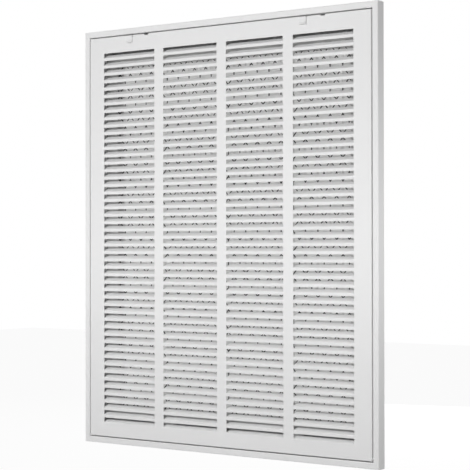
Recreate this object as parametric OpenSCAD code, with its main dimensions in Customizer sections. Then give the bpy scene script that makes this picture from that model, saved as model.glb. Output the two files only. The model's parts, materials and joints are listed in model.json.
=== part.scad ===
// Return air filter grille: a folded sheet frame that screws round a duct opening, a louvred door hinged
// along its bottom edge with two slide latches at the top, and a pleated filter held behind the door.
// Millimetres. X runs right, Z up, the louvred face looks along -Y. The wall plane is Y = 0 and the origin is
// the centre of the screw holes on that plane.

/* [Frame] */
// Overall width of the frame
overall_w = 574; // [470:1:700]
// Overall height of the frame
overall_h = 701; // [560:1:820]
// How far the face stands proud of the wall
face_depth = 17.5; // [16:0.5:24]
// Width of the frame's face round the door
face_w = 10; // [8:0.5:16]
// Distance from the frame's outer edge to the neck
flange_w = 33.2; // [30:0.2:44]
// Width of the rear lip that the filter leans on
lip_w = 10; // [6:0.5:14]
// Thickness of the painted sheet
sheet_t = 0.7; // [0.5:0.1:0.8]
// Inside radius of the frame's folds
fold_r = 0.6; // [0.4:0.1:1]

/* [Screw holes] */
// Radius of each hole
screw_r = 2.4; // [1.8:0.1:2.6]
// Distance from the frame's side edges to the holes in the top and bottom rails
screw_side_in = 57; // [52:1:70]

/* [Door] */
// Gap between the door and the frame
door_gap = 1.8; // [1.2:0.1:2.4]
// Depth of the door's returns, from its face
door_depth = 13.6; // [12.6:0.1:13.8]
// Width of the hem that stiffens the returns
hem_w = 8; // [5:0.5:8.5]
// Inside radius of the door's folds
door_fold_r = 0.3; // [0.2:0.1:0.4]

/* [Louvres] */
// Plain width kept at each side of the louvres, at least
side_margin = 28; // [20:0.5:30]
// Plain height kept above the louvres, at least
top_margin = 27; // [24:0.5:27]
// Plain height kept below the louvres, at least
bottom_margin = 23; // [20:0.5:23]
// Distance from one column to the next
column_pitch = 127; // [112:0.5:130]
// Distance from one louvre to the next
row_pitch = 12.62; // [11:0.02:12.8]
// Width of the plain strip between two columns
mullion_w = 18.5; // [17:0.5:60]
// Height of each slot
slot_h = 8.6; // [7:0.1:9.2]
// How far a fin reaches behind the face
fin_depth = 6.7; // [4:0.1:7.2]
// How far a fin rises above the slot's lower edge
fin_rise = 5.4; // [4:0.1:6]
// How much each free corner of a fin is cut back
fin_taper = 3.5; // [0:0.5:6]

/* [Hinge] */
// Distance from the door's face to the hinge line
hinge_depth = 2.6; // [2.6:0.1:3.4]
// Distance from the door's bottom edge to the hinge line
hinge_rise = 4; // [3.6:0.1:6]
// Radius of the hinge pins
pin_r = 1.2; // [1:0.05:1.2]
// Radius of the pins' heads
pin_head_r = 1.6; // [1.4:0.05:1.65]
// Radial running clearance of the pins in the frame
pin_clear = 0.05; // [0.02:0.01:0.1]

/* [Latches] */
// Distance from the door's side edges to the middle of each latch notch
latch_in = 103.2; // [60:0.1:150]
// Length of the notch in the door's top edge
notch_w = 46; // [46:0.5:56]
// Height of the notch
notch_h = 2.8; // [2.6:0.1:3.2]
// Travel of each latch
latch_travel = 8.7; // [8.5:0.1:8.9]
// Thickness of the latch strip
latch_t = 1; // [0.8:0.1:1]
// Width of the thumb tab
tab_w = 11.7; // [9:0.1:13]
// Height of the thumb tab
tab_h = 12.5; // [9:0.5:15]
// Height of the slide behind the door's face
slide_h = 19; // [18.5:0.5:19.5]
// Height of the hook and of its keeper
hook_h = 8; // [6:0.5:8]
// Length of the hook's finger
hook_w = 12; // [11:0.5:12]
// Radius of the studs that carry the slide
stud_r = 1.5; // [1.2:0.1:1.6]

/* [Filter] */
// Gap between the filter and the neck at each side
filter_side_gap = 2.3; // [0.5:0.1:8]
// Gap between the filter and the neck at its top and at its bottom
filter_end_gap = 7.3; // [3:0.1:12]
// Thickness of the filter
filter_t = 19; // [16:0.5:24]
// Distance from the wall plane back to the filter's front
filter_back = 0.8; // [0.8:0.1:3]
// Width of the cardboard rim on the filter's faces
rim_w = 21.5; // [14:0.5:26]
// Thickness of the cardboard
board_t = 1; // [0.6:0.1:1.2]
// Distance from one pleat to the next
pleat_pitch = 22; // [18:0.5:30]
// Thickness of the pleated sheet
media_t = 1; // [0.6:0.1:1.6]
// Thickness of the wire net
net_t = 0.6; // [0.4:0.1:0.8]
// Width of one net opening, from corner to corner
net_pitch_x = 66; // [66:1:80]
// Height of one net opening, from corner to corner
net_pitch_z = 76.2; // [76:0.1:90]
// Width of the net's strands
net_wire = 1.4; // [1:0.1:2]

/* [Fasteners] */
// Radius of the rivets
rivet_r = 1.6; // [1.2:0.1:1.8]
// Length of the corner angles' legs
corner_leg = 25; // [20:1:40]
// Width of the corner angles
corner_w = 14; // [10:0.5:15]
// Width of each tab that the filter rests on
rest_w = 24; // [12:1:40]

/* [Hidden] */

PAINT = "whitesmoke";
STEEL = "silver";
BOARD = "ivory";
NET = "dimgray";

fold_steps = 4;        // flats that make one fold
round_steps = 48;      // facets shown on a round
overcut = 1;           // how far a cut runs past its wall
seat_gap = 0.3;        // gap between pieces that slide on each other
rivet_fit = 0.02;      // radial gap round a rivet in its hole
rivet_head_r = 3;
rivet_head_t = 1;
small_fold_r = 0.3;    // inside radius of the latches' folds
keeper_fold_r = 0.4;
$fn = round_steps;

half_w = overall_w / 2;
half_h = overall_h / 2;
neck_depth = filter_back + filter_t + seat_gap + sheet_t;
neck_half_w = half_w - flange_w - sheet_t;
neck_half_h = half_h - flange_w - sheet_t;
rail_reach = flange_w + sheet_t + lip_w;
screw_in = (face_w + flange_w) / 2;
screw_x = half_w - screw_side_in;

door_half_w = half_w - face_w - door_gap;
door_half_h = half_h - face_w - door_gap;
edge_flat = 5;         // flat strip that belongs to each folded door edge
door_back_y = -face_depth + sheet_t;

slot_w = column_pitch - mullion_w;
columns = floor((2 * (door_half_w - side_margin) + column_pitch - slot_w) / column_pitch);
rows = floor((2 * door_half_h - top_margin - bottom_margin + row_pitch - slot_h) / row_pitch);
louvres_z = (bottom_margin - top_margin) / 2;
function column_x(c) = (c - (columns - 1) / 2) * column_pitch;
function row_z(r) = louvres_z + (r - (rows - 1) / 2) * row_pitch;

hinge_y = -face_depth + hinge_depth;
hinge_z = -door_half_h + hinge_rise;
pin_end = 3;           // length of pin behind the frame's recess wall
pin_head_t = 1.2;
pin_tip = 0.6;         // radius of the pin's tip, as a share of its own

latch_x = door_half_w - latch_in;
slide_w = notch_w - latch_travel - seat_gap;
slide_y = door_back_y + seat_gap / 2 + latch_t / 2;
slide_drop = 0.4;      // distance of the slide's top below the door's top edge
slide_top = door_half_h - slide_drop;
return_left = 4;       // depth of the door's top return left behind each notch
slide_bottom = slide_top - slide_h;
tab_y = -face_depth - seat_gap - latch_t / 2;
tab_flare = 2;
tab_straight = 0.65;   // share of the tab's height before it flares
hook_rise = 2;         // height of the hook above the slide's lower edge
hook_z = slide_bottom + hook_rise;
hook_gap = 0.4;
keeper_t = 1;
keeper_y = -sheet_t - keeper_t / 2;
keeper_reach = 8;      // overlap of the hook's finger and the keeper's lip
keeper_foot = 18.5;
keeper_room = 8;       // distance of the keeper's arm from the hook's finger
hook_y = -6.7;
lip_y = hook_y - latch_t / 2 - hook_gap - keeper_t / 2;
stud_drop = 5.6;       // distance of the studs below the slide's top
stud_z = slide_top - stud_drop;
stud_at = [-8, 9];     // places of the two studs from the notch's middle
stud_head_r = 2.8;
stud_head_t = 1;

corner_t = 0.8;
corner_y = neck_depth / 2;
corner_hole = 0.6;     // share of the leg at which its rivet sits

filter_w = 2 * (neck_half_w - filter_side_gap);
filter_h = 2 * (neck_half_h - filter_end_gap);
filter_y = filter_back;
rest_h = filter_end_gap - seat_gap;
rest_x = filter_w / 4;
rest_y = filter_y + filter_t / 2;
media_gap = 0.2;       // glue line between the sheet, its net and the board
media_front = filter_y + board_t + net_t + media_gap;
media_back = filter_y + filter_t - board_t;
media_half_w = filter_w / 2 - board_t - media_t / 2 - media_gap;
media_half_h = filter_h / 2 - board_t - media_gap;

// Direction and turn helpers for folded strips
function unit(v) = v / norm(v);
function left_of(v) = [-v.y, v.x];
function turned(v, a) = [v.x * cos(a) - v.y * sin(a), v.x * sin(a) + v.y * cos(a)];
function turn(a, b) = atan2(a.x * b.y - a.y * b.x, a.x * b.x + a.y * b.y);
function backwards(list) = [for (i = [len(list) - 1 : -1 : 0]) list[i]];

// Points of one fold at corner p1, on the side of the strip that lies off to its left by off
function fold_points(p0, p1, p2, off, mid_r) =
    let (d = unit(p1 - p0), a = turn(d, unit(p2 - p1)), s = sign(a),
         start = p1 - d * mid_r * tan(abs(a) / 2), centre = start + left_of(d) * s * mid_r)
    [for (i = [0 : fold_steps])
        centre + turned(left_of(d) * -s, a * i / fold_steps) * (mid_r - s * off)];

function side_points(path, off, mid_r) =
    let (last = len(path) - 1)
    concat([path[0] + left_of(unit(path[1] - path[0])) * off],
           [for (i = [1 : 1 : last - 1]) each fold_points(path[i - 1], path[i], path[i + 1], off, mid_r)],
           [path[last] + left_of(unit(path[last] - path[last - 1])) * off]);

// Outline of a strip of thickness t folded along a path through its middle, with inside radius r
function folded(path, t, r) =
    concat(side_points(path, t / 2, r + t / 2), backwards(side_points(path, -t / 2, r + t / 2)));

// Section across a frame rail: distance in from the outer edge, then depth
function rail_section() =
    let (h = sheet_t / 2)
    folded([[h, 0], [h, h - face_depth], [face_w - h, h - face_depth], [face_w - h, -h],
            [flange_w + h, -h], [flange_w + h, neck_depth - h], [rail_reach, neck_depth - h]],
           sheet_t, fold_r);

// Section across a folded door edge
function door_edge_section() =
    let (h = sheet_t / 2, back = door_depth - face_depth - h)
    folded([[edge_flat, h - face_depth], [h, h - face_depth], [h, back], [hem_w, back]],
           sheet_t, door_fold_r);

// Section across one fin, from the lower edge of its slot: depth, then height
function fin_section(z) =
    let (y = -face_depth + sheet_t / 2, root = small_fold_r + door_fold_r)
    folded([[y, z], [y, z + root], [y + fin_depth, z + fin_rise]], sheet_t, door_fold_r);

// A section swept along the left side of a frame and mitred at both ends
module mitred_side(across, along, reach, section) {
    intersection() {
        translate([-across, 0, 0]) linear_extrude(2 * along, center = true) polygon(section);
        rotate([90, 0, 0]) linear_extrude(4 * (face_depth + neck_depth), center = true)
            polygon([[-across, -along], [-across, along],
                     [-across + reach, along - reach], [-across + reach, -along + reach]]);
    }
}

// A shape drawn in depth and height, extruded along X and centred on x
module along_x(length, x = 0) {
    translate([x, 0, 0]) rotate([90, 0, 90]) linear_extrude(length, center = true) children();
}

// A shape drawn in width and depth, extruded up from z
module along_z(length, z) {
    translate([0, 0, z]) linear_extrude(length) children();
}

module hole_y(x, z, r) {
    translate([x, 0, z]) rotate([90, 0, 0]) cylinder(h = 4 * overcut, r = r, center = true);
}

module hole_x(x, y, z, r) {
    translate([x, y, z]) rotate([0, 90, 0]) cylinder(h = 4 * overcut, r = r, center = true);
}

// Frame

module corner_rivet_holes() {
    for (sx = [-1, 1], sz = [-1, 1]) {
        hole_x(sx * (neck_half_w + sheet_t), corner_y,
               sz * (neck_half_h + sheet_t - corner_leg * corner_hole), rivet_r + rivet_fit);
        translate([sx * (neck_half_w + sheet_t - corner_leg * corner_hole), corner_y,
                   sz * (neck_half_h + sheet_t)])
            cylinder(h = 4 * overcut, r = rivet_r + rivet_fit, center = true);
    }
}

module rail_across(side) {
    color(PAINT) difference() {
        rotate([0, side * 90, 0]) mitred_side(half_h, half_w, rail_reach, rail_section());
        for (sx = [-1, 1]) hole_y(sx * screw_x, side * (half_h - screw_in), screw_r);
        corner_rivet_holes();
        if (side > 0) keeper_rivet_holes();
        else filter_rests(0);
    }
    if (side < 0) color(PAINT) filter_rests(1);
}

// Tabs pressed up out of the bottom rail's neck wall to carry the filter, or the windows that they leave
module filter_rests(tabs) {
    for (sx = [-1, 1])
        translate([sx * rest_x - rest_w / 2, 0, -neck_half_h])
            if (tabs == 1)
                translate([0, rest_y, -sheet_t]) cube([rest_w, sheet_t, sheet_t + rest_h]);
            else
                translate([0, rest_y - rest_h, -sheet_t - overcut])
                    cube([rest_w, rest_h, sheet_t + 2 * overcut]);
}

module rail_upright(side) {
    color(PAINT) difference() {
        rotate([0, side > 0 ? 180 : 0, 0]) mitred_side(half_w, half_h, rail_reach, rail_section());
        hole_y(side * (half_w - screw_in), 0, screw_r);
        hole_x(side * (half_w - face_w + sheet_t / 2), hinge_y, hinge_z, pin_r + pin_clear);
        corner_rivet_holes();
    }
}

module rail_top() { rail_across(1); }
module rail_bottom() { rail_across(-1); }
module rail_left() { rail_upright(-1); }
module rail_right() { rail_upright(1); }

// One angle round an outside corner of the neck
module corner_angle(sx, sz) {
    x = neck_half_w + sheet_t;
    z = neck_half_h + sheet_t;
    trim = corner_t / 2;
    color(STEEL) difference() {
        translate([0, corner_y + corner_w / 2, 0]) rotate([90, 0, 0]) linear_extrude(corner_w)
            polygon([[sx * (x - corner_leg), sz * z], [sx * x, sz * z], [sx * x, sz * (z - corner_leg)],
                     [sx * (x + corner_t), sz * (z - corner_leg)], [sx * (x + corner_t), sz * (z + trim)],
                     [sx * (x + trim), sz * (z + corner_t)], [sx * (x - corner_leg), sz * (z + corner_t)]]);
        corner_rivet_holes();
    }
}

module corner_angle_top_left() { corner_angle(-1, 1); }
module corner_angle_top_right() { corner_angle(1, 1); }
module corner_angle_bottom_left() { corner_angle(-1, -1); }
module corner_angle_bottom_right() { corner_angle(1, -1); }

// A rivet along Z: its shank ends flush at z = 0 and its domed head stands on the pack of sheets
module rivet(pack) {
    cylinder(h = pack, r = rivet_r);
    translate([0, 0, pack]) rotate_extrude()
        polygon([[0, 0], [rivet_head_r, 0], [rivet_head_r, rivet_head_t * 0.4],
                 [rivet_head_r * 0.8, rivet_head_t * 0.8], [rivet_head_r * 0.4, rivet_head_t],
                 [0, rivet_head_t]]);
}

module corner_rivets() {
    color(STEEL) for (sx = [-1, 1], sz = [-1, 1]) {
        translate([sx * neck_half_w, corner_y, sz * (neck_half_h + sheet_t - corner_leg * corner_hole)])
            rotate([0, sx * 90, 0]) rivet(sheet_t + corner_t);
        translate([sx * (neck_half_w + sheet_t - corner_leg * corner_hole), corner_y, sz * neck_half_h])
            rotate([sz > 0 ? 0 : 180, 0, 0]) rivet(sheet_t + corner_t);
    }
}

// Door

module louvre_slots() {
    for (c = [0 : columns - 1], r = [0 : rows - 1])
        translate([column_x(c), row_z(r)]) square([slot_w, slot_h], center = true);
}

module door_sheet() {
    rotate([90, 0, 0]) translate([0, 0, face_depth - sheet_t]) linear_extrude(sheet_t)
        difference() {
            square([2 * (door_half_w - edge_flat), 2 * (door_half_h - edge_flat)], center = true);
            louvre_slots();
        }
}

module door_edges() {
    for (a = [0, 180]) rotate([0, a, 0])
        mitred_side(door_half_w, door_half_h, hem_w, door_edge_section());
    for (a = [90, -90]) rotate([0, a, 0])
        mitred_side(door_half_h, door_half_w, hem_w, door_edge_section());
}

// Every fin of the door: long strips, one for each row, cut to tapered columns
module fins() {
    half = slot_w / 2;
    back = -face_depth + sheet_t + fin_depth;
    intersection() {
        along_x(columns * column_pitch)
            for (r = [0 : rows - 1])
                polygon(fin_section(row_z(r) - slot_h / 2));
        along_z(rows * row_pitch, louvres_z - rows * row_pitch / 2)
            for (c = [0 : columns - 1]) translate([column_x(c), 0])
                polygon([[-half, -face_depth], [half, -face_depth], [half, door_back_y],
                         [half - fin_taper, back], [fin_taper - half, back], [-half, door_back_y]]);
    }
}

module latch_notches() {
    for (s = [-1, 1])
        translate([s * latch_x - notch_w / 2, -face_depth - overcut, door_half_h - notch_h])
            cube([notch_w, door_depth - return_left + overcut, notch_h + overcut]);
}

module door_panel() {
    color(PAINT) difference() {
        union() {
            door_sheet();
            door_edges();
            fins();
        }
        latch_notches();
        for (s = [-1, 1])
            hole_x(s * (door_half_w - sheet_t / 2), hinge_y, hinge_z, pin_r + rivet_fit);
    }
}

// A pin pressed out through the door's return into the frame's recess wall
module hinge_pin(side) {
    inside = door_half_w - sheet_t;
    length = sheet_t + door_gap + sheet_t + pin_end;
    color(STEEL) translate([side * inside, hinge_y, hinge_z]) rotate([0, side * 90, 0]) {
        translate([0, 0, -pin_head_t]) cylinder(h = pin_head_t, r = pin_head_r);
        cylinder(h = length - pin_r / 2, r = pin_r);
        translate([0, 0, length - pin_r / 2]) cylinder(h = pin_r / 2, r1 = pin_r, r2 = pin_r * pin_tip);
    }
}

module hinge_pin_left() { hinge_pin(-1); }
module hinge_pin_right() { hinge_pin(1); }

// Latches

function slide_left(side) = side * latch_x - notch_w / 2 + seat_gap;
function slide_right(side) = slide_left(side) + slide_w - seat_gap;

// Folded strip: slide behind the face, web over the notch's edge, thumb tab in front
module latch_tab(side) {
    web_z = slide_top - latch_t / 2;
    along_x(tab_w, slide_left(side) + tab_w / 2)
        polygon(folded([[slide_y, slide_bottom], [slide_y, web_z], [tab_y, web_z],
                        [tab_y, slide_top - tab_h * tab_straight], [tab_y - tab_flare, slide_top - tab_h]],
                       latch_t, small_fold_r));
}

module latch_hook(side) {
    x = slide_right(side) - latch_t / 2;
    along_z(hook_h, hook_z)
        polygon(folded([[x - latch_t * 3, slide_y], [x, slide_y], [x, hook_y],
                        [x + latch_t / 2 - hook_w, hook_y]], latch_t, small_fold_r));
}

module stud_slots(side) {
    for (at = stud_at)
        translate([side * latch_x + at, slide_y, stud_z]) rotate([90, 0, 0])
            linear_extrude(4 * overcut, center = true) {
                for (shift = [0, -latch_travel]) translate([shift, 0]) circle(r = stud_r + seat_gap / 2);
                translate([-latch_travel, -stud_r - seat_gap / 2])
                    square([latch_travel, 2 * stud_r + seat_gap]);
            }
}

module latch(side) {
    left = slide_left(side);
    right = slide_right(side);
    color(PAINT) difference() {
        union() {
            latch_tab(side);
            latch_hook(side);
            translate([left + tab_w, slide_y - latch_t / 2, slide_bottom])
                cube([right - left - tab_w - 2 * latch_t, latch_t, slide_h]);
            translate([right - 2 * latch_t, slide_y - latch_t / 2, hook_z + hook_h])
                cube([2 * latch_t, latch_t, slide_top - hook_z - hook_h]);
        }
        stud_slots(side);
    }
}

module latch_left() { latch(-1); }
module latch_right() { latch(1); }

module latch_studs(side) {
    under_head = seat_gap + latch_t;
    color(STEEL) for (at = stud_at)
        translate([side * latch_x + at, door_back_y, stud_z]) rotate([-90, 0, 0]) {
            cylinder(h = under_head + stud_head_t, r = stud_r);
            translate([0, 0, under_head]) cylinder(h = stud_head_t, r = stud_head_r);
        }
}

module latch_studs_left() { latch_studs(-1); }
module latch_studs_right() { latch_studs(1); }

// Keepers

function keeper_right_end(side) = slide_right(side) - hook_w + keeper_reach;
function keeper_arm(side) = slide_right(side) - hook_w - 2 * latch_t - keeper_room;
function keeper_rivet_x(side, k) = keeper_arm(side) - keeper_foot * (1 + 2 * k) / 4;

module keeper_rivet_holes() {
    for (side = [-1, 1], k = [0, 1])
        hole_y(keeper_rivet_x(side, k), hook_z + hook_h / 2, rivet_r + rivet_fit);
}

module keeper(side) {
    arm = keeper_arm(side);
    color(STEEL) difference() {
        along_z(hook_h, hook_z)
            polygon(folded([[arm - keeper_foot, keeper_y], [arm, keeper_y], [arm, lip_y],
                            [keeper_right_end(side), lip_y]], keeper_t, keeper_fold_r));
        keeper_rivet_holes();
    }
}

module keeper_left() { keeper(-1); }
module keeper_right() { keeper(1); }

module keeper_rivets() {
    color(STEEL) for (side = [-1, 1], k = [0, 1])
        translate([keeper_rivet_x(side, k), 0, hook_z + hook_h / 2])
            rotate([90, 0, 0]) rivet(sheet_t + keeper_t);
}

// Filter

module filter_box(inset, front, back) {
    translate([0, front, 0]) rotate([-90, 0, 0])
        linear_extrude(back - front)
            square([filter_w - 2 * inset, filter_h - 2 * inset], center = true);
}

module filter_board() {
    front = filter_y;
    back = filter_y + filter_t;
    color(BOARD) difference() {
        filter_box(0, front, back);
        filter_box(board_t, front + board_t, back - board_t);
        filter_box(rim_w, front - overcut, back + overcut);
    }
}

// Pleated sheet, drawn from above as one zigzag strip that ends inside the rim
module filter_media() {
    pleats = floor(2 * media_half_w / pleat_pitch);
    step = 2 * media_half_w / pleats / 2;
    near = media_front + media_t;
    far = media_back - media_t;
    path = [for (i = [0 : 2 * pleats]) [-media_half_w + i * step, i % 2 == 0 ? far : near]];
    color(BOARD) along_z(2 * media_half_h, -media_half_h)
        polygon(folded(path, media_t, small_fold_r));
}

// Net of crossing strands with diamond openings, behind the rim's front face
module filter_net() {
    half_x = media_half_w;
    half_z = media_half_h;
    across = floor(2 * half_x / net_pitch_x);
    up = floor(2 * half_z / net_pitch_z);
    pitch_x = 2 * half_x / across;
    pitch_z = 2 * half_z / up;
    shrink = 1 - net_wire / min(pitch_x, pitch_z);
    color(NET) translate([0, filter_y + board_t + net_t, 0]) rotate([90, 0, 0])
        linear_extrude(net_t) difference() {
            square([2 * half_x, 2 * half_z], center = true);
            for (i = [0 : 2 * across - 2], k = [0 : 2 * up - 2])
                if ((i + k) % 2 == 0)
                    translate([(i + 1) * pitch_x / 2 - half_x, (k + 1) * pitch_z / 2 - half_z])
                        polygon([[-pitch_x, 0] * shrink / 2, [0, -pitch_z] * shrink / 2,
                                 [pitch_x, 0] * shrink / 2, [0, pitch_z] * shrink / 2]);
        }
}

rail_top();
rail_bottom();
rail_left();
rail_right();
corner_angle_top_left();
corner_angle_top_right();
corner_angle_bottom_left();
corner_angle_bottom_right();
corner_rivets();
door_panel();
hinge_pin_left();
hinge_pin_right();
latch_left();
latch_right();
latch_studs_left();
latch_studs_right();
keeper_left();
keeper_right();
keeper_rivets();
filter_board();
filter_media();
filter_net();
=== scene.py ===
# %% [markdown]
# A return air filter grille: a folded steel frame on a wall, a louvred door hinged along its bottom edge,
# two slide latches, and behind the door a pleated filter with a wire net.
# The exact solids come from CAD as a fixed frame. This script gives them their finishes, and makes the two
# pieces that CAD only roughs out: the soft pleated cloth and the fine wire net in front of it.

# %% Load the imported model
import json
import math
import bpy
from mathutils import Euler, Matrix, Vector


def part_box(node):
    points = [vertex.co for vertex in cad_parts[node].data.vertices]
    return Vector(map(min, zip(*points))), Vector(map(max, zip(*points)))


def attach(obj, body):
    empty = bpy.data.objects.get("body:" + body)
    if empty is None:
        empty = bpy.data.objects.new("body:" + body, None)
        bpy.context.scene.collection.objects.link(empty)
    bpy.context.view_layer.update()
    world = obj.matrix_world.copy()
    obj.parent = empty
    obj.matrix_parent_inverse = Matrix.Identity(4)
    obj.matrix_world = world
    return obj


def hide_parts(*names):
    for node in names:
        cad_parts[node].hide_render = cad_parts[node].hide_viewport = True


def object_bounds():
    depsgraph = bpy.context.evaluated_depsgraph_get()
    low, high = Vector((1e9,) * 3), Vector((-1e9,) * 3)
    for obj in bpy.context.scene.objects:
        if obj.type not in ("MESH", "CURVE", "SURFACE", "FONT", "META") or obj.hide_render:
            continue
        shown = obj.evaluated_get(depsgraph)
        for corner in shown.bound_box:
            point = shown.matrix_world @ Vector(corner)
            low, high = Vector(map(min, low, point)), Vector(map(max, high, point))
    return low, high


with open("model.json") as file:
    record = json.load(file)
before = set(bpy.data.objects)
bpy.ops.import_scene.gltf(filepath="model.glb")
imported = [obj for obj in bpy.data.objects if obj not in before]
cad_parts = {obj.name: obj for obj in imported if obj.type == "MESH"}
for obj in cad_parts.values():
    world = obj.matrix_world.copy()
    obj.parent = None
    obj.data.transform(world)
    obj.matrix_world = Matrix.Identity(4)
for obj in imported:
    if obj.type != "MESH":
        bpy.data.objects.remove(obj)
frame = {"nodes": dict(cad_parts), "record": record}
nodes = frame["nodes"]
cad_low, cad_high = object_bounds()
print("CAD box in metres:", [round(b - a, 4) for a, b in zip(cad_low, cad_high)])

# %% [markdown]
# The camera stands to the right of the grille, a little below its middle, as a long lens two metres away
# would see it. Its place could be tried by hand; here it was worked out once from the edges of the frame,
# the gap round the door and the ends of the louvres, and is written down as plain numbers.

# %% Place the camera
CAMERA_PLACE = (1.3411, -1.9031, -0.0182)
CAMERA_UP, CAMERA_TURN, CAMERA_ROLL = math.radians(90.486), math.radians(34.883), math.radians(-0.084)
LENS_MM, SENSOR_MM = 110.49, 36.0

camera_data = bpy.data.cameras.new("camera")
camera_data.lens, camera_data.sensor_width = LENS_MM, SENSOR_MM
camera = bpy.data.objects.new("camera", camera_data)
turned = Euler((CAMERA_UP, 0, CAMERA_TURN)).to_matrix() @ Matrix.Rotation(CAMERA_ROLL, 3, "Z")
camera.matrix_world = Matrix.Translation(CAMERA_PLACE) @ turned.to_4x4()
bpy.context.scene.collection.objects.link(camera)
bpy.context.scene.camera = camera
bpy.context.scene.view_settings.view_transform = "Standard"
print("camera looks along", tuple(round(v, 3) for v in -(turned.col[2])))

# %% [markdown]
# A studio for white goods is white all round. Rays that the camera, a gloss or a clear piece sends to the
# world find white, while the light that falls on the object from the world is lower, so pale paint keeps its
# shades. One big lamp could light the face alone, but louvres need more: the key stands high, at the height where
# a fin that leans back by half a right angle is as bright as the face, and a near lamp helps it at the top; the
# low strip shines straight into the slots and gives the middle its glow; a small spot does the same for the side
# of the frame; and a panel on the far side shines through the thin cloth, so that the slots don't go black.

# %% Helpers for node trees
def node_in(tree, kind, **settings):
    """A node of that kind in the tree, with its settings and the values of its named inputs."""
    made = tree.nodes.new(kind)
    for name, value in settings.items():
        if name == "inputs":
            for key, given in value.items():
                made.inputs[key].default_value = given
        else:
            setattr(made, name, value)
    return made


def join(tree, start, end):
    """Links an output to an input."""
    tree.links.new(start, end)


def add_values(tree, *outputs):
    """The clamped sum of several values."""
    total = outputs[0]
    for extra in outputs[1:]:
        step = node_in(tree, "ShaderNodeMath", operation="ADD", use_clamp=True)
        join(tree, total, step.inputs[0])
        join(tree, extra, step.inputs[1])
        total = step.outputs[0]
    return total


def seen_rays(tree):
    """1 for rays from the camera, a gloss or a clear piece."""
    path = node_in(tree, "ShaderNodeLightPath")
    return add_values(tree, path.outputs["Is Camera Ray"], path.outputs["Is Glossy Ray"],
                      path.outputs["Is Transmission Ray"])


# %% White world with a lower light
WORLD_LIGHT = 0.27

world = bpy.data.worlds.new("white studio")
bpy.context.scene.world = world
world.use_nodes = True
sky = world.node_tree
sky.nodes.clear()
seen = node_in(sky, "ShaderNodeBackground", inputs={"Color": (1, 1, 1, 1), "Strength": 1.0})
lit = node_in(sky, "ShaderNodeBackground", inputs={"Color": (1, 1, 1, 1), "Strength": WORLD_LIGHT})
choose = node_in(sky, "ShaderNodeMixShader")
sky_out = node_in(sky, "ShaderNodeOutputWorld")
join(sky, seen_rays(sky), choose.inputs[0])
join(sky, lit.outputs[0], choose.inputs[1])
join(sky, seen.outputs[0], choose.inputs[2])
join(sky, choose.outputs[0], sky_out.inputs[0])
print("world lights at", WORLD_LIGHT, "and is seen as 1.0")

# %% Five soft lamps
LAMPS = {
    "key from the upper left": {"place": (-1.9, -3.1, 1.55), "aim": (0, 0, 0), "size": (1.2, 0.3), "watts": 22.0},
    "near lamp above": {"place": (0, -0.95, 0.58), "aim": (0, 0, 0), "size": (1.4, 0.2), "watts": 3.1},
    "low strip": {"place": (0, -0.5, -0.03), "aim": (0, 0, -0.03), "size": (1.6, 0.12), "watts": 1.3},
    "side spot": {"place": (0.65, -0.08, 0), "aim": (cad_high.x, 0, 0), "size": (0.1, 0.1), "watts": 0.45},
    "panel behind the filter": {"place": (-0.9, 3.0, 0), "aim": (0, 0, 0), "size": (1.2, 1.6), "watts": 52.0},
}

for name, lamp in LAMPS.items():
    lamp_data = bpy.data.lights.new(name, "AREA")
    lamp_data.shape, lamp_data.energy = "RECTANGLE", lamp["watts"]
    lamp_data.size, lamp_data.size_y = lamp["size"]
    lamp_object = bpy.data.objects.new(name, lamp_data)
    lamp_object.location = lamp["place"]
    beam = Vector(lamp["aim"]) - Vector(lamp["place"])
    lamp_object.rotation_euler = beam.to_track_quat("-Z", "Y").to_euler()
    lamp_object.visible_camera = False
    bpy.context.scene.collection.objects.link(lamp_object)
print("lamps:", {name: lamp["watts"] for name, lamp in LAMPS.items()})

# %% [markdown]
# In use the grille hangs on a wall or a ceiling, so nothing stands on the floor: it is a pale sheet that lies just
# below the reach of the open door. Nearly all that the camera sees of it is plain white, so it melts into the
# background, and the rest is its lit surface, which keeps the grille's soft shadow.

# %% Floor
FLOOR_SIZE, FLOOR_WHITE = 12.0, 0.94
DOOR_REACH = 0.26  # how far the door swings below the frame when it is fully open

floor_mesh = bpy.data.meshes.new("floor")
s, z = FLOOR_SIZE / 2, cad_low.z - DOOR_REACH
floor_mesh.from_pydata([(-s, -s, z), (s, -s, z), (s, s, z), (-s, s, z)], [], [(0, 1, 2, 3)])
floor = bpy.data.objects.new("floor", floor_mesh)
bpy.context.scene.collection.objects.link(floor)
floor_finish = bpy.data.materials.new("pale floor")
floor_finish.use_nodes = True
tree = floor_finish.node_tree
tree.nodes.clear()
matt = node_in(tree, "ShaderNodeBsdfPrincipled", inputs={"Base Color": (0.9, 0.9, 0.9, 1), "Roughness": 0.9})
glow = node_in(tree, "ShaderNodeEmission", inputs={"Color": (1, 1, 1, 1), "Strength": 1.0})
share = node_in(tree, "ShaderNodeMath", operation="MULTIPLY")
share.inputs[1].default_value = FLOOR_WHITE
mix = node_in(tree, "ShaderNodeMixShader")
out = node_in(tree, "ShaderNodeOutputMaterial")
join(tree, seen_rays(tree), share.inputs[0])
join(tree, share.outputs[0], mix.inputs[0])
join(tree, matt.outputs[0], mix.inputs[1])
join(tree, glow.outputs[0], mix.inputs[2])
join(tree, mix.outputs[0], out.inputs["Surface"])
floor_mesh.materials.append(floor_finish)
print("floor at height", round(z, 4))

# %% [markdown]
# Every finish has a fine unevenness: the orange peel of powder coat, the fibres of card and cloth, the drawn
# surface of wire. One shader group makes it from two noises, a broad one that shifts the colour and a fine one
# that gives the height of the bumps, and each material sets its own sizes and amounts.

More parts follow.
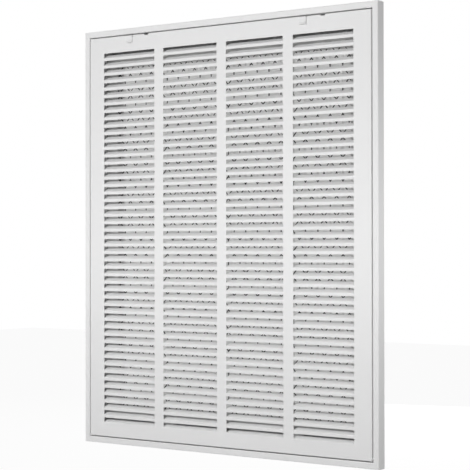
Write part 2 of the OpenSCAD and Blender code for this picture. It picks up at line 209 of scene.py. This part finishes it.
# %% Shared group: grain
grain = bpy.data.node_groups.new("grain", "ShaderNodeTree")
for name, default in (("Broad", 12.0), ("Fine", 400.0), ("Stretch X", 1.0), ("Stretch Z", 1.0),
                      ("Darken", 0.03), ("Rough", 0.4), ("Rough Range", 0.08)):
    grain.interface.new_socket(name, in_out="INPUT", socket_type="NodeSocketFloat").default_value = default
grain.interface.new_socket("Colour", in_out="INPUT", socket_type="NodeSocketColor")
for name, kind in (("Colour", "NodeSocketColor"), ("Roughness", "NodeSocketFloat"), ("Height", "NodeSocketFloat")):
    grain.interface.new_socket(name, in_out="OUTPUT", socket_type=kind)
g_in, g_out = node_in(grain, "NodeGroupInput"), node_in(grain, "NodeGroupOutput")
place = node_in(grain, "ShaderNodeTexCoord")
stretch = node_in(grain, "ShaderNodeCombineXYZ", inputs={"Y": 1.0})
join(grain, g_in.outputs["Stretch X"], stretch.inputs["X"])
join(grain, g_in.outputs["Stretch Z"], stretch.inputs["Z"])
scaled = node_in(grain, "ShaderNodeVectorMath", operation="MULTIPLY")
join(grain, place.outputs["Object"], scaled.inputs[0])
join(grain, stretch.outputs[0], scaled.inputs[1])
broad = node_in(grain, "ShaderNodeTexNoise", inputs={"Detail": 4.0, "Roughness": 0.55})
fine = node_in(grain, "ShaderNodeTexNoise", inputs={"Detail": 3.0, "Roughness": 0.6})
for noise, size in ((broad, "Broad"), (fine, "Fine")):
    join(grain, scaled.outputs[0], noise.inputs["Vector"])
    join(grain, g_in.outputs[size], noise.inputs["Scale"])
both = node_in(grain, "ShaderNodeMath", operation="MULTIPLY")
join(grain, broad.outputs[0], both.inputs[0])
join(grain, g_in.outputs["Darken"], both.inputs[1])
double = node_in(grain, "ShaderNodeMath", operation="MULTIPLY_ADD")
double.inputs[1].default_value = -2.0
double.inputs[2].default_value = 1.0
join(grain, both.outputs[0], double.inputs[0])
tint = node_in(grain, "ShaderNodeVectorMath", operation="SCALE")
join(grain, g_in.outputs["Colour"], tint.inputs[0])
join(grain, double.outputs[0], tint.inputs["Scale"])
join(grain, tint.outputs[0], g_out.inputs["Colour"])
spread = node_in(grain, "ShaderNodeMath", operation="MULTIPLY_ADD")
join(grain, broad.outputs[0], spread.inputs[0])
join(grain, g_in.outputs["Rough Range"], spread.inputs[1])
join(grain, g_in.outputs["Rough"], spread.inputs[2])
join(grain, spread.outputs[0], g_out.inputs["Roughness"])
join(grain, fine.outputs[0], g_out.inputs["Height"])
print("group", grain.name, "has inputs", [s.name for s in grain.interface.items_tree if s.in_out == "INPUT"])


# %% Materials from the shared group
def finish(name, colour, metallic=0.0, specular=0.5, bump=0.1, bump_depth=0.0001, **grain_values):
    """A Principled material whose colour, roughness and bumps come from the grain group."""
    made = bpy.data.materials.new(name)
    made.use_nodes = True
    made.diffuse_color = (*colour, 1)
    tree = made.node_tree
    shader = tree.nodes["Principled BSDF"]
    shader.inputs["Metallic"].default_value = metallic
    shader.inputs["Specular IOR Level"].default_value = specular
    texture = node_in(tree, "ShaderNodeGroup", node_tree=grain)
    texture.inputs["Colour"].default_value = (*colour, 1)
    for key, value in grain_values.items():
        texture.inputs[key.replace("_", " ").title()].default_value = value
    bumps = node_in(tree, "ShaderNodeBump", inputs={"Strength": bump, "Distance": bump_depth})
    join(tree, texture.outputs["Colour"], shader.inputs["Base Color"])
    join(tree, texture.outputs["Roughness"], shader.inputs["Roughness"])
    join(tree, texture.outputs["Height"], bumps.inputs["Height"])
    join(tree, bumps.outputs[0], shader.inputs["Normal"])
    return made


# %% [markdown]
# The frame, door and latches are steel with a satin white powder coat. Powder melts into a skin with shallow
# waves about two millimetres across, called orange peel, and its gloss varies a little from place to place.

# %% Powder coat
white_paint = finish("white powder coat", (0.90, 0.90, 0.90), specular=0.4, bump=0.12, bump_depth=0.0002,
                     broad=9.0, fine=420.0, darken=0.012, rough=0.38, rough_range=0.1)

# %% [markdown]
# Pins, studs, keepers, corner angles and rivets are bare zinc plated steel, with a cloudy, crystal like bloom.

# %% Zinc plating
zinc = finish("zinc plating", (0.62, 0.63, 0.64), metallic=1.0, bump=0.15, bump_depth=0.0001,
              broad=160.0, fine=900.0, darken=0.12, rough=0.28, rough_range=0.22)

# %% [markdown]
# The filter's rim is white faced board. Its fibres lie mostly one way, so the noise is stretched along X.

# %% White faced board
board = finish("white faced board", (0.88, 0.88, 0.87), specular=0.25, bump=0.3, bump_depth=0.0002,
               broad=60.0, fine=700.0, stretch_x=0.25, darken=0.05, rough=0.75, rough_range=0.15)

# %% [markdown]
# The cloth is a felt of short white fibres; the net is drawn wire, dull and dark.

# %% Cloth and wire
cloth = finish("white filter cloth", (0.92, 0.92, 0.91), specular=0.15, bump=0.6, bump_depth=0.0004,
               broad=90.0, fine=1400.0, stretch_z=0.35, darken=0.06, rough=0.85, rough_range=0.12)
felt = cloth.node_tree.nodes["Principled BSDF"]
felt.inputs["Sheen Weight"].default_value = 0.2
felt.inputs["Subsurface Weight"].default_value = 1.0
felt.inputs["Subsurface Radius"].default_value = (1.0, 1.0, 1.0)
felt.inputs["Subsurface Scale"].default_value = 0.004
dark_wire = finish("dull dark wire", (0.03, 0.03, 0.032), specular=0.25, bump=0.3, bump_depth=0.00005,
                   broad=200.0, fine=1500.0, stretch_z=0.2, darken=0.2, rough=0.55, rough_range=0.2)

# %% Put the finishes on the CAD nodes
FINISHES = {"white_paint": white_paint, "plated_steel": zinc, "cardboard": board,
            "filter_cloth": cloth, "dark_wire": dark_wire}
for part in frame["record"]["subparts"]:
    for place_for in nodes[part["node"]].material_slots:
        place_for.material = FINISHES[part["material_slot"]]


# %% [markdown]
# The filter cloth is one long sheet folded into pleats from side to side of its card rim. It could be draped by
# simulation, but a factory pleat is pressed and held by glue, so it is a rule: a zigzag with small round tips,
# the same along its height apart from a slight sag between the glue lines. The mesh follows that rule.

# %% Pleated cloth
PLEATS, CLOTH_T, TIP = 22, 0.0009, 0.10
ACROSS, UP = 14, 36
RIPPLE, RIPPLE_WAVES = 0.0005, 5

low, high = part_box("filter_media")


def pleat_depth(turn):
    """Depth of the cloth's middle, 0 at the back tips and 1 at the front ones; turn counts pleats."""
    phase = abs((turn % 1.0) * 2 - 1)
    straight = 1 - phase
    if straight < TIP:
        return straight * straight / (2 * TIP) + TIP / 2
    if straight > 1 - TIP:
        return 1 - TIP / 2 - (1 - straight) ** 2 / (2 * TIP)
    return straight


def pleated_sheet():
    """Points and faces of a closed sheet, its front and back surfaces half a thickness off its middle."""
    wide, near, far = high.x - low.x - CLOTH_T, low.y + CLOTH_T, high.y - CLOTH_T
    count = PLEATS * ACROSS
    points, faces = [], []
    for side in (-1, 1):
        for k in range(UP + 1):
            z = low.z + (high.z - low.z) * k / UP
            sway = RIPPLE * math.sin(2 * math.pi * RIPPLE_WAVES * k / UP)
            for i in range(count + 1):
                turn = i / ACROSS
                step = 0.5 / ACROSS
                depth = pleat_depth(turn)
                slope = (pleat_depth(turn + step) - pleat_depth(turn - step)) * (near - far) / (wide / count)
                across = Vector((1, slope, 0)).normalized()
                off = Vector((-across.y, across.x, 0)) * side * CLOTH_T / 2
                inner = 0 if i in (0, count) else sway * (4 * depth * (1 - depth))
                if i in (0, count):
                    off = Vector((0, side * CLOTH_T / 2, 0))
                points.append((low.x + CLOTH_T / 2 + wide * i / count + off.x + inner,
                               far + (near - far) * depth + off.y, z))
    row, layer = count + 1, (UP + 1) * (count + 1)
    for k in range(UP):
        for i in range(count):
            a = k * row + i
            faces.append((a, a + 1, a + 1 + row, a + row))
            faces.append((layer + a + row, layer + a + row + 1, layer + a + 1, layer + a))
    for i in range(count):
        faces.append((i + 1, i, layer + i, layer + i + 1))
        a = UP * row + i
        faces.append((a, a + 1, layer + a + 1, layer + a))
    for k in range(UP):
        a = k * row
        faces.append((a, a + row, layer + a + row, layer + a))
        a += count
        faces.append((a + row, a, layer + a, layer + a + row))
    return points, faces


def mesh_object(name, points, faces, material):
    """A smooth mesh object at the world origin with that material."""
    mesh = bpy.data.meshes.new(name)
    mesh.from_pydata(points, [], faces)
    mesh.materials.append(material)
    mesh.polygons.foreach_set("use_smooth", [True] * len(mesh.polygons))
    mesh.update()
    made = bpy.data.objects.new(name, mesh)
    bpy.context.scene.collection.objects.link(made)
    return made


pleats = mesh_object("pleated_cloth", *pleated_sheet(), cloth)
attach(pleats, "frame")
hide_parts("filter_media")

# %% [markdown]
# In front of the pleats lies a net of dark wire with diamond openings. Each strand is a zigzag with a short
# straight bond where it meets its neighbour. Geometry Nodes suit it well: one strand is a line whose points are
# pushed left and right by a rule, and the net is that strand repeated across, every second one turned over.

# %% Net: values and the empty tree
NET_ACROSS, NET_STEPS_UP = 22, 33
WIRE_W, WIRE_T, BOND = 0.0016, 0.0005, 0.005
NET_END_IN = 0.0094  # distance of the net's two ends from those of its CAD box, both behind the card rim

net_low, net_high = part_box("filter_net")
net_wide = net_high.x - net_low.x - WIRE_W
net_tall = net_high.z - net_low.z - 2 * NET_END_IN - BOND

net_tree = bpy.data.node_groups.new("diamond net", "GeometryNodeTree")
net_tree.interface.new_socket("Geometry", in_out="INPUT", socket_type="NodeSocketGeometry")
NET_VALUES = {"Strands": 2 * NET_ACROSS, "Nodes Up": NET_STEPS_UP, "Width": net_wide, "Height": net_tall,
              "Bond": BOND, "Wire Width": WIRE_W, "Wire Thickness": WIRE_T}
for name, value in NET_VALUES.items():
    kind = "NodeSocketInt" if isinstance(value, int) else "NodeSocketFloat"
    net_tree.interface.new_socket(name, in_out="INPUT", socket_type=kind)
net_tree.interface.new_socket("Place", in_out="INPUT", socket_type="NodeSocketVector")
net_tree.interface.new_socket("Material", in_out="INPUT", socket_type="NodeSocketMaterial")
net_tree.interface.new_socket("Geometry", in_out="OUTPUT", socket_type="NodeSocketGeometry")
print("net of", NET_ACROSS, "by", NET_STEPS_UP / 2, "diamonds, each", round(net_wide / NET_ACROSS * 1000, 1),
      "by", round(2 * net_tall / NET_STEPS_UP * 1000, 1), "mm")


# %% Net: one strand
def math_node(tree, operation, first, second):
    """The result of one sum, where each side is an output or a number."""
    made = node_in(tree, "ShaderNodeMath", operation=operation)
    for socket, value in zip(made.inputs, (first, second)):
        if isinstance(value, (int, float)):
            socket.default_value = value
        else:
            join(tree, value, socket)
    return made.outputs[0]


given = node_in(net_tree, "NodeGroupInput")
index = node_in(net_tree, "GeometryNodeInputIndex").outputs[0]
points_up = math_node(net_tree, "ADD", math_node(net_tree, "MULTIPLY", given.outputs["Nodes Up"], 2), 2)
line = node_in(net_tree, "GeometryNodeMeshLine")
join(net_tree, points_up, line.inputs["Count"])
step_no = math_node(net_tree, "FLOOR", math_node(net_tree, "DIVIDE", index, 2), 0)
bond_end = math_node(net_tree, "SUBTRACT", math_node(net_tree, "MODULO", index, 2), 0.5)
odd = math_node(net_tree, "SUBTRACT", math_node(net_tree, "MODULO", step_no, 2), 0.5)
swing = math_node(net_tree, "DIVIDE", given.outputs["Width"], given.outputs["Strands"])
rise = math_node(net_tree, "DIVIDE", given.outputs["Height"], given.outputs["Nodes Up"])
up_step = math_node(net_tree, "MULTIPLY", step_no, rise)
up_bond = math_node(net_tree, "MULTIPLY", bond_end, given.outputs["Bond"])
up_middle = math_node(net_tree, "MULTIPLY", given.outputs["Height"], 0.5)
strand_place = node_in(net_tree, "ShaderNodeCombineXYZ")
join(net_tree, math_node(net_tree, "MULTIPLY", odd, swing), strand_place.inputs["X"])
join(net_tree, math_node(net_tree, "SUBTRACT", math_node(net_tree, "ADD", up_step, up_bond), up_middle),
     strand_place.inputs["Y"])
bent = node_in(net_tree, "GeometryNodeSetPosition")
join(net_tree, line.outputs[0], bent.inputs["Geometry"])
join(net_tree, strand_place.outputs[0], bent.inputs["Position"])
print("one strand has", 2 * NET_STEPS_UP + 2, "points")

# %% Net: repeat the strand, give it its wire and stand it up
row_line = node_in(net_tree, "GeometryNodeMeshLine")
join(net_tree, given.outputs["Strands"], row_line.inputs["Count"])
row_x = math_node(net_tree, "MULTIPLY", math_node(net_tree, "ADD", index, 0.5), swing)
row_place = node_in(net_tree, "ShaderNodeCombineXYZ")
half_wide = math_node(net_tree, "MULTIPLY", given.outputs["Width"], 0.5)
join(net_tree, math_node(net_tree, "SUBTRACT", row_x, half_wide), row_place.inputs["X"])
row_set = node_in(net_tree, "GeometryNodeSetPosition")
join(net_tree, row_line.outputs[0], row_set.inputs["Geometry"])
join(net_tree, row_place.outputs[0], row_set.inputs["Position"])
turn_over = math_node(net_tree, "SUBTRACT", 1, math_node(net_tree, "MULTIPLY",
                                                       math_node(net_tree, "MODULO", index, 2), 2))
flip = node_in(net_tree, "ShaderNodeCombineXYZ", inputs={"Y": 1.0, "Z": 1.0})
join(net_tree, turn_over, flip.inputs["X"])
copies = node_in(net_tree, "GeometryNodeInstanceOnPoints")
join(net_tree, row_set.outputs[0], copies.inputs["Points"])
join(net_tree, bent.outputs[0], copies.inputs["Instance"])
join(net_tree, flip.outputs[0], copies.inputs["Scale"])
flat_net = node_in(net_tree, "GeometryNodeRealizeInstances")
join(net_tree, copies.outputs[0], flat_net.inputs[0])
to_curve = node_in(net_tree, "GeometryNodeMeshToCurve")
join(net_tree, flat_net.outputs[0], to_curve.inputs[0])
upright = node_in(net_tree, "GeometryNodeSetCurveNormal", mode="Z_UP")
join(net_tree, to_curve.outputs[0], upright.inputs["Curve"])
section = node_in(net_tree, "GeometryNodeCurvePrimitiveQuadrilateral")
join(net_tree, given.outputs["Wire Width"], section.inputs["Width"])
join(net_tree, given.outputs["Wire Thickness"], section.inputs["Height"])
wire = node_in(net_tree, "GeometryNodeCurveToMesh", inputs={"Fill Caps": True})
join(net_tree, upright.outputs[0], wire.inputs["Curve"])
join(net_tree, section.outputs[0], wire.inputs["Profile Curve"])
stand = node_in(net_tree, "GeometryNodeTransform", inputs={"Rotation": (math.pi / 2, 0, 0)})
join(net_tree, wire.outputs[0], stand.inputs["Geometry"])
join(net_tree, given.outputs["Place"], stand.inputs["Translation"])
real = node_in(net_tree, "GeometryNodeRealizeInstances")
painted = node_in(net_tree, "GeometryNodeSetMaterial")
join(net_tree, stand.outputs[0], real.inputs[0])
join(net_tree, real.outputs[0], painted.inputs["Geometry"])
join(net_tree, given.outputs["Material"], painted.inputs["Material"])
join(net_tree, painted.outputs[0], node_in(net_tree, "NodeGroupOutput").inputs[0])
print("tree", net_tree.name, "has", len(net_tree.nodes), "nodes")


# %% Net: run the tree and keep a plain mesh
def grow(name, tree, values):
    """Runs a Geometry Nodes tree on an empty object and keeps its result as a plain mesh at the origin."""
    seed_object = bpy.data.objects.new(name + "_seed", bpy.data.meshes.new(name + "_seed"))
    bpy.context.scene.collection.objects.link(seed_object)
    modifier = seed_object.modifiers.new("grow", "NODES")
    modifier.node_group = tree
    for socket in tree.interface.items_tree:
        if socket.in_out == "INPUT" and socket.name in values:
            modifier[socket.identifier] = values[socket.name]
    bpy.context.view_layer.update()
    ready = seed_object.evaluated_get(bpy.context.evaluated_depsgraph_get())
    mesh = bpy.data.meshes.new_from_object(ready)
    mesh.name = name
    bpy.data.objects.remove(seed_object)
    made = bpy.data.objects.new(name, mesh)
    bpy.context.scene.collection.objects.link(made)
    return made


net_middle = (net_low + net_high) / 2
net = grow("diamond_net", net_tree, {**NET_VALUES, "Place": tuple(net_middle), "Material": dark_wire})
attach(net, "frame")
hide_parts("filter_net")
corners = [Vector(c) for c in net.bound_box]
print("net has", len(net.data.polygons), "faces and is",
      [round(max(c[i] for c in corners) - min(c[i] for c in corners), 4) for i in range(3)], "metres")
